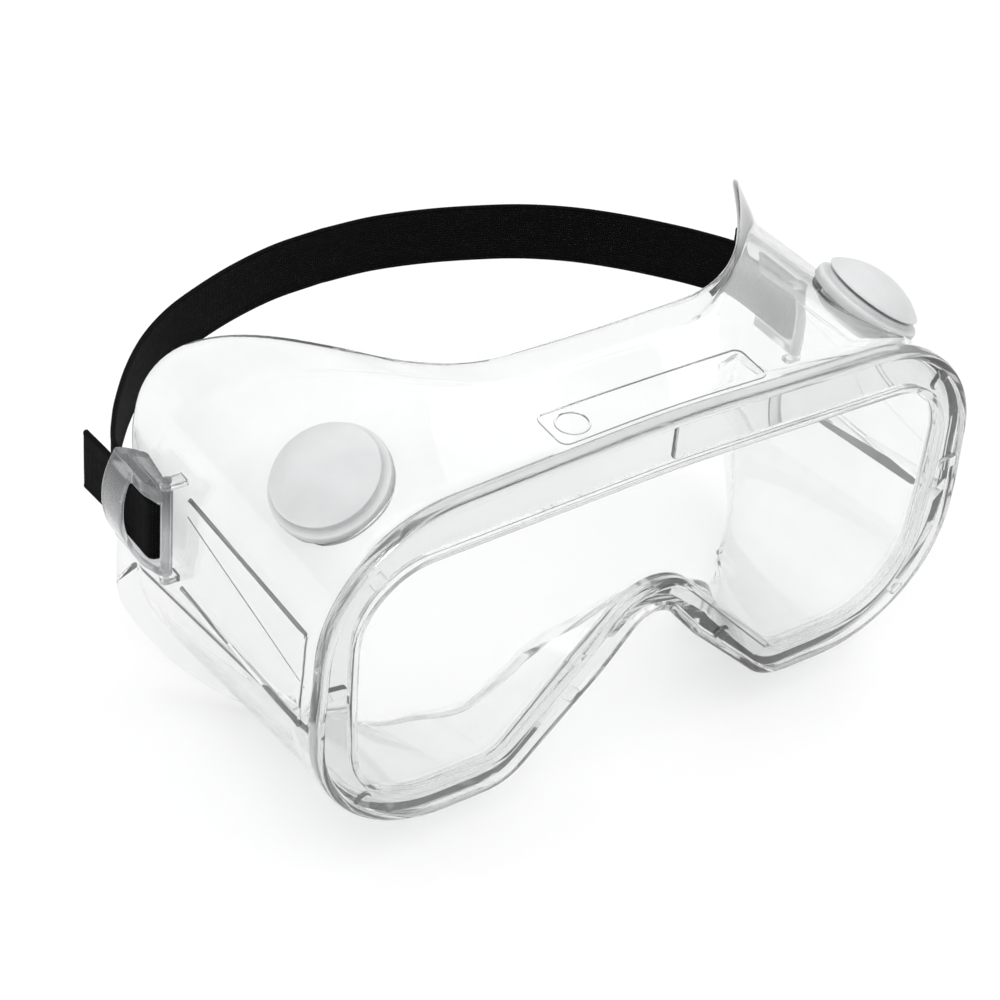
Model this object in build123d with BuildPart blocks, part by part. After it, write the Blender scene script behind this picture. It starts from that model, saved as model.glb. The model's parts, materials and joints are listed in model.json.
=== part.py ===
from build123d import *
from math import cos, radians, sin, sqrt
import os

# Indirect-vent safety goggles: a clear soft body with a flat lens, two capped vents,
# and an elastic strap held by two buckles that swing on pins.
# Millimetres. +X is the wearer's left-right line, -Y faces forward, +Z is up.
# In the comments, depth runs back from the rim's front face and height runs up or
# down from the middle of the lens.

# ---- driving dimensions
total_depth = 134.15         # rim's front face to the back of the strap
face_height = 48.0           # middle of the lens above the face flange's lowest edge
rim_depth = 5.0              # front to back, through both lips of the lens groove
bead_width = 1.8             # raised bead along the rim's outer edge
rim_recess = 0.7             # how far the rim's face lies behind the bead
lip_width = 1.6              # raised lip round the opening
wall = 1.8                   # skirt wall
wall_front = 3.0             # depth where the skirt leaves the rim
wall_rear = 92.0             # depth of the skirt's rear profile, beyond the face cut
lens_thickness = 1.5
lens_front = 1.9             # depth of the lens's front face
lens_grip = 2.2              # how far the lens reaches into the groove
groove_slack = 0.1
face_radius = 86.0           # curve of the face edge, seen from above
face_depth = 26.5            # depth of the face edge at the middle of the forehead
face_lean = 0.09             # depth that the face edge gains per mm of height
flare = 0.9                  # depth that the flange gains per mm beyond the skirt
flare_top = 39.0
flare_bottom = -41.0
flare_reach = 12.0           # height that the flange's cut carries on past those two
nose_top = -3.0              # height where the face cut's nose ends under the brow
nose_ridge = (18.0, 13.5)    # half width and depth of the nose's front
nose_sides = (31.0, 31.5)    # half width and depth where the nose meets the cheeks
face_rear = 60.0
flange = 2.0                 # thickness of the face flange
strap_height = 15.0
strap_thickness = 1.3
strap_middle = 3.0           # height of the strap's middle at the buckles
strap_slope = radians(3.0)   # how far the strap falls towards the back of the head

# ---- half outlines, from the top middle round to the nose: x, height, corner radius
rim_half = [(0, 41.3, 300), (79.5, 37.6, 31), (80.5, 8, 100), (80.9, -4, 60),
            (80, -41.2, 32), (33.6, -41.2, 14), (11.8, -19.6, 20), (0, -5.4, 6)]
skirt_front_half = [(0, 40.4, 300), (78.6, 36.8, 30), (79.6, 8, 100), (80, -4, 60),
                    (79.1, -40.3, 31), (34, -40.3, 13), (12.4, -18.9, 20), (0, -3.9, 6)]
skirt_rear_half = [(0, 35.5, 300), (78.5, 46, 32), (78.6, 4, 60), (80.3, -22, 60),
                   (79.8, -49, 24), (38, -49, 10), (15, -24, 20), (0, -6, 6)]
opening_half = [(0, 28.5, 300), (72.2, 26.5, 16), (71.8, 0, 60), (70, -33.5, 20),
                (36, -33.5, 8), (0, 4.8, 13.7)]
flange_half = [(0, 43.5, 300), (78.8, 44.5, 33), (78.6, 4, 60), (81.5, -22, 60),
               (81.3, -48, 21), (33, -48, 14), (21, -18.5, 9), (0, -12.4, 20)]

# ---- locating marks across the rim's face: outer end, inner end (right half)
mark_width = 5.0
marks = [((70.6, 29.6), (66.5, 22.7)), ((80.6, 2.8), (73, 1.8)),
         ((70.4, -31), (65.8, -26)), ((17.6, -24.5), (22.6, -20))]
middle_mark = ((0, 40.2), (0, 31.5))

# ---- side channel: two rails on the side wall with a shallow panel between them
channel_heights = (-10.0, 12.0)
channel_front = 8.0
channel_rear = 61.5
rail_width = 1.2
rail_rear = 54.0
rail_face_x = (81.4, 80.7)       # rails' outer face, at the front and at the rear
channel_floor_x = (79.5, 78.6)   # panel between the rails, at the front and at the rear
inside_wall_x = 78.0
outside_x = 90.0                 # clear of the whole body

# ---- label plate: raised outline on the top wall, with a plain ring at its end
label_height = 0.4           # above the wall
label_size = (50.0, 10.0)
label_depth = 10.4           # depth of the label's middle
label_line = 0.6
label_ring_x = -19.5
label_ring_radius = 3.6
label_corner = 2.0
label_cut = 36.0             # height inside the top wall where the raised lines start
label_cut_rise = 8.0

# ---- vents: the seat's middle on the skirt's upper corner, and the vent's axis
vent_seat = (66.1, 22.9, 33.8)
vent_axis = (0.509, -0.116, 0.853)
vent_bore = 8.6              # radius of the hole through the skirt
bore_reach = 8.0             # how far the hole is cut below the seat
seat_radius = 12.6
seat_thickness = 7.0
seat_clearance = 4.0         # cut clear above the seat
plug_step_radius = 12.2      # plug's flange: wide lower step, narrow upper step
plug_rim_radius = 10.6
plug_step_height = 1.1
plug_rim_height = 1.9
spigot_radius = 8.45
snap_radius = 9.1
spigot_end = -5.6
plug_bore = 7.2
ledge_bore = 6.4
ledge_height = -3.6          # top of the ledge that carries the baffle
spoke_width = 1.4
spoke_bottom = 0.5
hub_radius = 3.0
hub_bottom = -1.5
stem_radius = 1.84
stem_clearance = 0.06
barb_radius = 2.3
stem_end = -2.5
baffle_radius = 7.1
baffle_thickness = 0.8
baffle_holes = ((4.9, 12), (2.5, 6))   # rings of holes: radius of the ring, how many
baffle_hole_radius = 0.8
cap_radius = 11.2
cap_top = 6.2

# ---- buckles
hinge_x = 82.3
hinge_depth = 56.8
pin_radius = 0.6
pin_fit = 0.02               # clearance round the pin in the ears
pin_clearance = 0.06         # clearance round the pin in the barrel
pin_head_height = 0.5
pin_head_radius = 1.0
barrel_radius = 1.3
ear_radius = 1.8
ear_thickness = 1.6
ear_reach = 4.6              # from the hinge's axis back into the skirt's wall
pin_bore_reach = 20.0        # half height of the cut for the pin, past both ears
ear_gap = 0.3                # between an ear and the barrel's end
buckle_bottom = -7.2         # height of the buckle's lower edge
buckle_top = 14.6
buckle_rear = 73.7
band_front = 65.8            # front edge of the bowed rear band
band_thickness = 1.2
band_bow = 3.2               # how far the band bows outwards in the middle
band_middle = (buckle_bottom + buckle_top) / 2
lower_arm = 2.2              # thickness of the arms above and below the strap
upper_arm = 3.6
arm_inner_x = 81.1
arm_outer_x = 85.4
arm_nose_x = 84.0            # arm's outer side at the hinge
shoulder_depth = 61.2        # where the arm reaches its full width
band_x = arm_outer_x - 0.4
band_inner_x = band_x - band_thickness
slot_depth = 0.6             # shallow slot along the upper arm's top
slot_middle = 65.7
slot_size = (1.0, 12.0)
bar_x = 83.08                # middle of the bar that the strap folds round
bar_thickness = 1.05
bar_depths = (60.1, 63.1)    # front and rear of that bar
bar_rounding = 0.5
bar_reach = 9.2              # half height of the bar, into both arms
fold_depth = bar_depths[0] - 0.9   # middle of the strap where it passes the bar's front
fold_radius = 1.3
leg_x = 81.75                # middle of the strap where it lies along the skirt
tail_x = 84.4                # middle of the loose tail
leg_end = 76.5               # depth where the fold's solid ends
tail_end = 86.5
band_gap = 0.5               # between the fold's solid and the band's
band_turns = [(80.9, 5.5), (57.0, 40.0)]     # where the right half turns: x, length behind leg_end
band_flat_x = 19.0           # half width of the strap's flat stretch at the back
band_radii = [12, 30, 80]

front_y = -total_depth / 2
front_plane = Plane(origin=(0, front_y, face_height), x_dir=(1, 0, 0), z_dir=(0, -1, 0))


def at_depth(depth):
    """Upright plane, local x across and local y up, at a depth behind the rim's front."""
    return front_plane.offset(-depth)


def at_height(height):
    """Level plane, local x across and local y in depth."""
    return Plane(origin=(0, front_y, face_height + height))


def outline(half, grow=0):
    """Face bounded by a half outline and its mirror image, grown outwards."""
    points = half + [(-x, z, radius) for x, z, radius in reversed(half[1:-1])]
    with BuildSketch() as shape:
        with BuildLine():
            FilletPolyline([point[:2] for point in points], radius=[point[2] for point in points], close=True)
        make_face()
        if grow:
            offset(amount=grow, mode=Mode.REPLACE)
    return shape.sketch_local


def skirt_solid(grow, depth):
    """Skirt's outer volume, grown outwards, from a depth to its rear profile."""
    with BuildPart() as volume:
        with BuildSketch(at_depth(depth)):
            add(outline(skirt_front_half, grow))
        with BuildSketch(at_depth(wall_rear)):
            add(outline(skirt_rear_half, grow))
        loft(ruled=True)
    return volume.part


def face_volume(grow):
    """Space that the wearer's face takes up, grown forwards, with the nose below the brow."""
    steps = [(flare_bottom, -flare_reach, flare, True),
             (flare_bottom, nose_top - flare_bottom, face_lean, True),
             (nose_top, flare_top - nose_top, face_lean, False),
             (flare_top, flare_reach, flare, False)]
    with BuildPart() as volume:
        for height, rise, slope, has_nose in steps:
            lean = face_lean * height
            ridge = nose_ridge[1] + lean - grow
            cheek = nose_sides[1] + lean - grow
            with BuildSketch(at_height(height)):
                with Locations((0, face_depth + face_radius + lean)):
                    Circle(face_radius + grow)
                if has_nose:
                    with BuildLine():
                        Polyline((-nose_sides[0], cheek), (-nose_ridge[0], ridge),
                                 (nose_ridge[0], ridge), (nose_sides[0], cheek),
                                 (nose_sides[0], face_rear), (-nose_sides[0], face_rear), close=True)
                    make_face()
            length = abs(rise) * sqrt(1 + slope ** 2)
            extrude(amount=length, dir=(0, slope, 1 if rise > 0 else -1))
    return volume.part


def vent_plane(side):
    """Plane of the vent's flat seat, its normal along the vent's axis."""
    return Plane(origin=(side * vent_seat[0], front_y + vent_seat[1], face_height + vent_seat[2]),
                 z_dir=(side * vent_axis[0], vent_axis[1], vent_axis[2]))


def save(piece, name):
    piece.label = name
    export_step(piece, f"parts/{name}.step")


os.makedirs("parts", exist_ok=True)

# ---- body: one clear moulding, from the rim back to the face flange
face = face_volume(0)
with BuildPart() as label_plate:
    add(skirt_solid(label_height, wall_front))
    with BuildSketch(at_height(label_cut)):
        with Locations((0, label_depth)):
            RectangleRounded(*label_size, label_corner)
            offset(amount=-label_line, mode=Mode.SUBTRACT)
        with Locations((label_ring_x, label_depth)):
            Circle(label_ring_radius)
            Circle(label_ring_radius - label_line, mode=Mode.SUBTRACT)
    extrude(amount=label_cut_rise, mode=Mode.INTERSECT)

with BuildPart() as flange_band:
    add(face_volume(flange))
    with BuildSketch(at_depth(0)):
        add(outline(flange_half))
    extrude(amount=-wall_rear, mode=Mode.INTERSECT)

with BuildPart() as body:
    add(skirt_solid(0, wall_front))
    add(flange_band.part)
    for side in (-1, 1):
        # side channel: a raised block, then the panel cut into it between the rails
        with BuildSketch(at_height(channel_heights[0] - rail_width)):
            with BuildLine():
                Polyline((side * inside_wall_x, channel_front), (side * rail_face_x[0], channel_front),
                         (side * rail_face_x[1], rail_rear), (side * inside_wall_x, rail_rear), close=True)
            make_face()
        extrude(amount=channel_heights[1] - channel_heights[0] + 2 * rail_width)
        with BuildSketch(at_height(channel_heights[0])):
            with BuildLine():
                Polyline((side * channel_floor_x[0], channel_front), (side * outside_x, channel_front),
                         (side * outside_x, channel_rear), (side * channel_floor_x[1], channel_rear), close=True)
            make_face()
        extrude(amount=channel_heights[1] - channel_heights[0], mode=Mode.SUBTRACT)
        # lug ears above and below the buckle's barrel
        for height in (buckle_bottom - ear_gap - ear_thickness, buckle_top + ear_gap):
            with BuildSketch(at_height(height)):
                with Locations((side * (hinge_x - ear_reach / 2), hinge_depth)):
                    Rectangle(ear_reach, 2 * ear_radius)
                with Locations((side * hinge_x, hinge_depth)):
                    Circle(ear_radius)
            extrude(amount=ear_thickness)
        with BuildSketch(at_height(-pin_bore_reach)):
            with Locations((side * hinge_x, hinge_depth)):
                Circle(pin_radius + pin_fit)
        extrude(amount=2 * pin_bore_reach, mode=Mode.SUBTRACT)
        # raised round seat for the vent
        with BuildSketch(vent_plane(side)):
            Circle(seat_radius)
        extrude(amount=-seat_thickness)
    add(face, mode=Mode.SUBTRACT)
    add(skirt_solid(-wall, rim_depth), mode=Mode.SUBTRACT)
    with BuildSketch(at_depth(0)):
        add(outline(rim_half))
    extrude(amount=-rim_depth)
    add(label_plate.part)
    with BuildSketch(at_depth(0)):
        add(outline(opening_half))
    extrude(amount=-rim_depth, mode=Mode.SUBTRACT)
    with BuildSketch(at_depth(lens_front - groove_slack)):
        add(outline(opening_half, lens_grip + groove_slack))
    extrude(amount=-(lens_thickness + 2 * groove_slack), mode=Mode.SUBTRACT)
    with BuildSketch(at_depth(0)):
        add(outline(rim_half, -bead_width))
        add(outline(opening_half, lip_width), mode=Mode.SUBTRACT)
        for start, end in [middle_mark] + marks + [((-a, b), (-c, d)) for (a, b), (c, d) in marks]:
            middle = ((start[0] + end[0]) / 2, (start[1] + end[1]) / 2)
            SlotCenterPoint(middle, end, mark_width, mode=Mode.SUBTRACT)
    extrude(amount=-rim_recess, mode=Mode.SUBTRACT)
    for side in (-1, 1):
        with BuildSketch(vent_plane(side).offset(-bore_reach)):
            Circle(vent_bore)
        extrude(amount=bore_reach + seat_clearance, mode=Mode.SUBTRACT)
        with BuildSketch(vent_plane(side)):
            Circle(seat_radius)
        extrude(amount=seat_clearance, mode=Mode.SUBTRACT)
save(body.part, "body")

# ---- lens: flat pane held in the rim's groove
with BuildPart() as lens:
    with BuildSketch(at_depth(lens_front)):
        add(outline(opening_half, lens_grip))
    extrude(amount=-lens_thickness)
save(lens.part, "lens")

# ---- vents and buckles, one set on each side
for side, hand in ((-1, "left"), (1, "right")):
    seat = vent_plane(side)
    profile = Plane(origin=seat.origin, x_dir=seat.x_dir, z_dir=-seat.y_dir)
    spin = Axis(seat.origin, seat.z_dir)

    # plug: stepped flange, spigot with a snap lip, ledge for the baffle, spokes and hub
    with BuildPart() as vent_base:
        with BuildSketch(profile):
            with BuildLine():
                Polyline((plug_bore, plug_rim_height), (plug_rim_radius, plug_rim_height),
                         (plug_rim_radius, plug_step_height), (plug_step_radius, plug_step_height),
                         (plug_step_radius, 0), (spigot_radius, 0), (spigot_radius, -4.5),
                         (snap_radius, -4.9), (8.3, spigot_end), (ledge_bore, spigot_end),
                         (ledge_bore, ledge_height), (plug_bore, ledge_height), close=True)
            make_face()
        revolve(axis=spin)
        with BuildSketch(seat.offset(spoke_bottom)):
            Rectangle(2 * plug_bore + 0.6, spoke_width)
            Rectangle(spoke_width, 2 * plug_bore + 0.6)
        extrude(amount=plug_rim_height - spoke_bottom)
        with BuildSketch(seat.offset(hub_bottom)):
            Circle(hub_radius)
        extrude(amount=plug_rim_height - hub_bottom)
        with BuildSketch(seat.offset(spigot_end)):
            Circle(stem_radius + stem_clearance)
        extrude(amount=cap_top - spigot_end, mode=Mode.SUBTRACT)
    save(vent_base.part, f"vent_base_{hand}")

    # perforated splash disc, resting on the plug's ledge
    with BuildPart() as vent_baffle:
        with BuildSketch(seat.offset(ledge_height)):
            Circle(baffle_radius)
            for ring_radius, count in baffle_holes:
                with PolarLocations(ring_radius, count):
                    Circle(baffle_hole_radius, mode=Mode.SUBTRACT)
        extrude(amount=baffle_thickness)
    save(vent_baffle.part, f"vent_baffle_{hand}")

    # domed cap with a snap stem
    with BuildPart() as vent_cap:
        with BuildSketch(profile):
            with BuildLine():
                ThreePointArc((0, cap_top), (6.2, 5.4), (cap_radius, 3.1))
                Line((cap_radius, 3.1), (cap_radius - 0.3, 2.6))
                Line((cap_radius - 0.3, 2.6), (9.9, 2.5))
                ThreePointArc((9.9, 2.5), (6.0, 4.2), (stem_radius, 4.9))
                Line((stem_radius, 4.9), (stem_radius, -1.6))
                Line((stem_radius, -1.6), (barb_radius, -1.7))
                Line((barb_radius, -1.7), (1.4, stem_end))
                Line((1.4, stem_end), (0, stem_end))
                Line((0, stem_end), (0, cap_top))
            make_face()
        revolve(axis=spin)
    save(vent_cap.part, f"vent_cap_{hand}")

    # buckle: hinge barrel, top and bottom arms, centre bar and bowed rear band
    with BuildPart() as buckle:
        with BuildSketch(at_height(buckle_bottom)):
            with Locations((side * hinge_x, hinge_depth)):
                Circle(barrel_radius)
        extrude(amount=buckle_top - buckle_bottom)
        for height, thickness in ((buckle_bottom, lower_arm), (buckle_top - upper_arm, upper_arm)):
            with BuildSketch(at_height(height)):
                with BuildLine():
                    FilletPolyline((side * arm_inner_x, hinge_depth), (side * arm_inner_x, buckle_rear),
                                   (side * arm_outer_x, buckle_rear), (side * arm_outer_x, shoulder_depth),
                                   (side * arm_nose_x, hinge_depth), radius=(1.5, 1.0, 2.5))
                    Line((side * arm_nose_x, hinge_depth), (side * arm_inner_x, hinge_depth))
                make_face()
            extrude(amount=thickness)
        with BuildSketch(at_height(strap_middle - bar_reach)):
            with Locations((side * bar_x, sum(bar_depths) / 2)):
                RectangleRounded(bar_thickness, bar_depths[1] - bar_depths[0], bar_rounding)
        extrude(amount=2 * bar_reach)
        with BuildSketch(at_depth(band_front)):
            with BuildLine():
                ThreePointArc((side * band_x, buckle_top), (side * (band_x + band_bow), band_middle),
                              (side * band_x, buckle_bottom))
                Line((side * band_x, buckle_bottom), (side * band_inner_x, buckle_bottom))
                ThreePointArc((side * band_inner_x, buckle_bottom),
                              (side * (band_inner_x + band_bow), band_middle),
                              (side * band_inner_x, buckle_top))
                Line((side * band_inner_x, buckle_top), (side * band_x, buckle_top))
            make_face()
        extrude(amount=-(buckle_rear - band_front))
        with BuildSketch(at_height(buckle_top - slot_depth)):
            with Locations((side * bar_x, slot_middle)):
                Rectangle(*slot_size)
        extrude(amount=slot_depth, mode=Mode.SUBTRACT)
        with BuildSketch(at_height(-pin_bore_reach)):
            with Locations((side * hinge_x, hinge_depth)):
                Circle(pin_radius + pin_clearance)
        extrude(amount=2 * pin_bore_reach, mode=Mode.SUBTRACT)
    save(buckle.part, f"buckle_{hand}")

    # hinge pin with a small head on top of the upper ear
    pin_bottom = buckle_bottom - ear_gap - ear_thickness
    pin_top = buckle_top + ear_gap + ear_thickness
    with BuildPart() as buckle_pin:
        with BuildSketch(at_height(pin_bottom)):
            with Locations((side * hinge_x, hinge_depth)):
                Circle(pin_radius)
        extrude(amount=pin_top - pin_bottom)
        with BuildSketch(at_height(pin_top)):
            with Locations((side * hinge_x, hinge_depth)):
                Circle(pin_head_radius)
        extrude(amount=pin_head_height)
    save(buckle_pin.part, f"buckle_pin_{hand}")

    # strap's fold round the centre bar: inner leg, bend and loose tail
    with BuildPart() as strap_end:
        with BuildSketch(at_height(strap_middle - strap_height / 2)):
            with BuildLine():
                FilletPolyline((side * leg_x, leg_end), (side * leg_x, fold_depth),
                               (side * tail_x, fold_depth), (side * tail_x, tail_end), radius=fold_radius)
            trace(line_width=strap_thickness)
        extrude(amount=strap_height)
    save(strap_end.part, f"strap_end_{hand}")

# ---- strap: one band round the back of the head, from fold to fold
band_plane = Plane(origin=(0, front_y + leg_end, face_height + strap_middle - strap_height / 2),
                   x_dir=(1, 0, 0), z_dir=(0, sin(strap_slope), cos(strap_slope)))
band_reach = (total_depth - leg_end - strap_height * sin(strap_slope)) / cos(strap_slope)
band_half = [(leg_x, band_gap)] + band_turns + [(band_flat_x, band_reach - strap_thickness / 2)]
with BuildPart() as strap_band:
    with BuildSketch(band_plane):
        with BuildLine():
            FilletPolyline(band_half + [(-x, length) for x, length in reversed(band_half)],
                           radius=band_radii + band_radii[::-1])
        trace(line_width=strap_thickness)
    extrude(amount=strap_height)
save(strap_band.part, "strap_band")
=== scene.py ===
import bmesh
import bpy
import json
from math import cos, pi, radians, sin, sqrt, tan
from mathutils import Matrix, Vector
from mathutils.bvhtree import BVHTree

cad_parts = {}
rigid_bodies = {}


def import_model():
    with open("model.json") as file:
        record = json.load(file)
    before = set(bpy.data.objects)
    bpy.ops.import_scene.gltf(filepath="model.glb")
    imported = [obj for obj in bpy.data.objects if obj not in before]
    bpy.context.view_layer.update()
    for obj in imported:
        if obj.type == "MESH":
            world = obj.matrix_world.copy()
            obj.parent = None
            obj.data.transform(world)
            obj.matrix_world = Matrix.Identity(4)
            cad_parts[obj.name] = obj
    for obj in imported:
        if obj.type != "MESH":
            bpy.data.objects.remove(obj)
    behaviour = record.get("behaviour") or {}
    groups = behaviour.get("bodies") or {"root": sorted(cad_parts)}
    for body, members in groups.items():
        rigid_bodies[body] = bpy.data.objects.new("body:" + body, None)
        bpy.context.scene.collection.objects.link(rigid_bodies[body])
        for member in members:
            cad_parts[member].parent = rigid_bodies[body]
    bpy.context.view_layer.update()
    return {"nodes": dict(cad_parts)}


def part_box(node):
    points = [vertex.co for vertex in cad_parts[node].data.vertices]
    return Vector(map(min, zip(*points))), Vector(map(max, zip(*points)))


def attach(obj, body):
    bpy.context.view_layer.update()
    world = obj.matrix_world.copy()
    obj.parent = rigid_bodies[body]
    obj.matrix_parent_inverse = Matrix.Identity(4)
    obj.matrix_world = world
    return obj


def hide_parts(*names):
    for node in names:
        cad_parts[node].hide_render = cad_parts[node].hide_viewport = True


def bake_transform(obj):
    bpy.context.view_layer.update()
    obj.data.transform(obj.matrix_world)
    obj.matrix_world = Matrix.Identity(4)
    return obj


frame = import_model()

# Clear safety goggles. Lengths are in millimetres until at() turns them into metres: x runs across the
# face, depth back from the rim's front face, and height up from the middle of the lens. side is -1 on
# the left and 1 on the right. A span is a pair of values between which something changes smoothly.
MM = 0.001
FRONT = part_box("body")[0].y / MM
FACE_HEIGHT = 48.0        # of the lens's middle, above the floor
SIDES = ((-1, "left"), (1, "right"))

# ---- half outlines of the body, from the top middle round to the nose: x, height, corner radius
RIM = [(0, 41.3, 300), (79.5, 37.6, 31), (80.5, 4, 60), (80.9, -4, 60),
       (80, -41.2, 32), (33.6, -41.2, 14), (11.8, -19.6, 20), (0, -5.4, 6)]
SKIRT_FRONT = [(0, 40.4, 300), (78.6, 36.8, 30), (79.6, 4, 60), (80, -4, 60),
               (79.1, -40.3, 31), (34, -40.3, 13), (12.4, -18.9, 20), (0, -3.9, 6)]
SKIRT_ROOT = [(0, 39.6, 300), (78.7, 42.0, 37), (79.1, 0, 60), (80.3, -16, 60),
              (79.8, -45.6, 27), (37, -45, 20), (21.5, -18, 12), (0, -9.5, 20)]
OPENING = [(0, 28.5, 300), (72.2, 26.5, 16), (72.1, 6, 60), (71.9, -3, 60),
           (70, -33.5, 20), (36, -33.5, 8), (17.6, -13.9, 60), (0, 4.8, 13.7)]
FLANGE = [(0, 43.2, 300), (78.8, 44.9, 30), (78.7, 3, 60), (81.5, -22, 60),
          (81.3, -48, 21), (33, -48, 20), (20, -17.5, 10), (0, -12.6, 20)]
# Points on each corner and on each run between corners: alike for every outline, so that stations match.
CORNER_STEPS = (8, 28, 6, 6, 28, 14, 12, 14)
RUN_STEPS = (24, 8, 6, 12, 16, 12, 8)

# ---- rim: the lip's and bead's sections are (offset outward from their outline, depth)
BEAD = 2.2
RECESS = 0.9
RIM_DEPTH = 5.0
LIP_SECTION = [(0, 1.8), (0, 0.32), (0.09, 0.09), (0.3, 0), (1.1, 0), (1.35, 0.09), (1.44, 0.32),
               (1.45, RECESS)]
BEAD_SECTION = [(-BEAD, RECESS), (-2.05, 0.6), (-1.85, 0.15), (-1.65, 0.02), (-1.2, 0), (-0.8, 0.05),
                (-0.38, 0.25), (-0.1, 0.65), (0, 1.2), (0, 2.9), (-0.2, 3.1), (-0.3, 3.6), (-0.6, 4.0)]
GROOVE = 1.2
GROOVE_DEPTHS = (1.8, 3.5)
PANE_GRIP = 1.1           # how far the lens reaches into the groove
PANE_DEPTHS = (1.9, 3.4)
PANE_BEVEL = 0.15

# Locating tabs across the rim's face, each from its outer end to its inner end, as (x, height).
MARK_HALF_WIDTH = 1.7
MARKS = [((70.6, 29.6), (67.7, 24.6)), ((80.6, 2.8), (74.2, 1.9)),
         ((70.4, -31.0), (67.5, -27.8)), ((17.6, -24.5), (21.1, -21.3))]
MIDDLE_MARK = ((0, 40.2), (0, 30.7))
MARK_STEPS = ((0, 1.6), (0, 0.6), (0.2, 0.3), (0.45, 0.06))     # inset, depth

# ---- skirt's wall
WALL = 1.8
SKIRT_FRONT_DEPTH = 3.0
OUTER_START = 4.3         # depth where the outside of the wall leaves the bead
INNER_START = 5.6         # depth where the inside of the wall leaves the rim
FILLET = (5.1, 0.4)       # depth of the fillet behind the rim, and its reach inward from the wall

# ---- face flange: its edge is cut to the brow above, and to the cheeks and the nose below
FACE_RADIUS = 86.0
FACE_DEPTH = 26.5
FACE_LEAN = 0.09
NOSE_RISE = 13.3
NOSE_SPAN = (18, 38)
TEMPLE = 80.5
TEMPLE_REACH = 48.0
BROW_DEPTH = 30.0
BROW_MIDDLE = 15.0
BROW_SWEEP = 1.7
BROW_HEIGHTS = (-15, 15)
FLANGE_THICK = 1.5
FLANGE_REACH = 0.5        # how far its rounded edge stands behind the face
# The flange is FLANGE_WIDTH wide in the middle, and wider at the temples and in the upper corners.
FLANGE_WIDTH = 3.0
TEMPLE_WIDTH = 4.0
TEMPLE_SPAN = (40, 78)
CORNER_WIDTH = 5.0
CORNER_START = (34, 52)
CORNER_END = (68, 78)
CORNER_HEIGHTS = (-5, 15)
BEND = 0.8                # length of the outer bend between wall and flange, each way
INNER_BEND = (0.5, 1.6)   # how far the inner bend lies behind the outer one, and its length

# ---- side wall: rails that run back from the rim, with a thin crease across them (depth, height)
RAIL_FRONT = 8
RAIL_REAR = 54.1
RAIL_HEIGHTS = (12, -10)
RAIL_RADIUS = 0.7
RAIL_END_RADIUS = 0.4
CREASE = ((7, 0.1), (54, 8.2))
CREASE_RADIUS = 0.16

# ---- frame of the label plate, on the top wall
LABEL_SIZE = (50.0, 10.0)
LABEL_CORNER = 2.0
LABEL_DEPTH = 10.4
LABEL_RING_X = -19.5
LABEL_RING = 3.4
LABEL_LINE = 0.26

# ---- vents: profiles are (radius, rise along the vent's axis)
VENT_SEAT = (66.1, 22.9, 33.8)
VENT_AXIS = (0.509, -0.116, 0.853)
VENT_BORE = 8.6
SEAT_RADIUS = 12.0
SEAT_PROFILE = [(VENT_BORE - 0.5, 0.3), (VENT_BORE - 0.5, -4.4), (SEAT_RADIUS - 0.8, -4.4),
                (SEAT_RADIUS, -3.6), (SEAT_RADIUS, 0.3)]
HOLE_PROFILE = [(0, -9), (VENT_BORE, -9), (VENT_BORE, 0), (SEAT_RADIUS + 1.5, 0),
                (SEAT_RADIUS + 1.5, 5), (0, 5)]
CAP_RADIUS = 11.2
CAP_DOME = ((0, 6.8), (6.2, 5.9), (CAP_RADIUS, 3.05))
CAP_EDGE = [(CAP_RADIUS + 0.03, 2.92), (CAP_RADIUS - 0.05, 2.75), (CAP_RADIUS - 0.3, 2.6), (10.2, 2.48)]
CAP_UNDER = ((9.9, 2.5), (6.0, 4.2), (1.84, 4.9))
CAP_STEM = [(1.84, -1.6), (2.3, -1.7), (1.4, -2.5), (0, -2.5)]
PLUG_PROFILE = [(7.2, 1.75), (7.35, 1.9), (10.4, 1.9), (10.6, 1.75), (10.65, 1.15), (10.8, 1.0),
                (12.1, 0.95), (12.4, 0.8), (12.5, 0.4), (12.5, -1.0), (12.3, -1.3), (12.05, -1.3),
                (12.05, 0.02), (8.45, 0.02), (8.45, -4.5), (9.1, -4.9), (8.9, -5.2), (8.3, -5.6),
                (6.4, -5.6), (6.4, -3.6), (7.2, -3.6)]
SPOKE_HALF = (7.4, 0.7)   # half its length and half its width
SPOKE_RISES = (0.5, 1.85)
HUB_PROFILE = [(1.9, -1.5), (3.0, -1.5), (3.0, 1.85), (1.9, 1.85)]
HUB_BORE = [(0, -2), (1.9, -2), (1.9, 2.5), (0, 2.5)]

# ---- buckles: outlines are (x, depth), seen from above
HINGE = (82.3, 56.8)
EAR_RADIUS = 1.5
EAR_ROOT = 78.2           # x inside the side wall, where the lugs begin
EAR_HEIGHTS = ((-9.1, -7.5), (14.9, 16.4))
EAR_BEVEL = ((0.3, 0), (0.08, 0.1), (0, 0.35))      # how much narrower, how far from the lug's end
BLOCK_OUTLINE = [(81.3, 57.6), (79.9, 68.8), (80.4, 70.0), (83.0, 71.0), (83.0, 57.6)]
BLOCK_HEIGHTS = (11.0, 14.6)
BEVEL_OUTLINE = [(79.0, 69.0), (84.6, 74.2), (84.6, 76.0), (79.0, 76.0)]
BEVEL_HEIGHTS = (-9.0, 16.0)
BUCKLE_VOXEL = 0.2
BUCKLE_SOFTENING = 16
BUCKLE_PAINTED_SHADE_HEIGHTS = (4.0, 13.0)    # heights between which painted shade darkens its base colour from pale to dark
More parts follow.
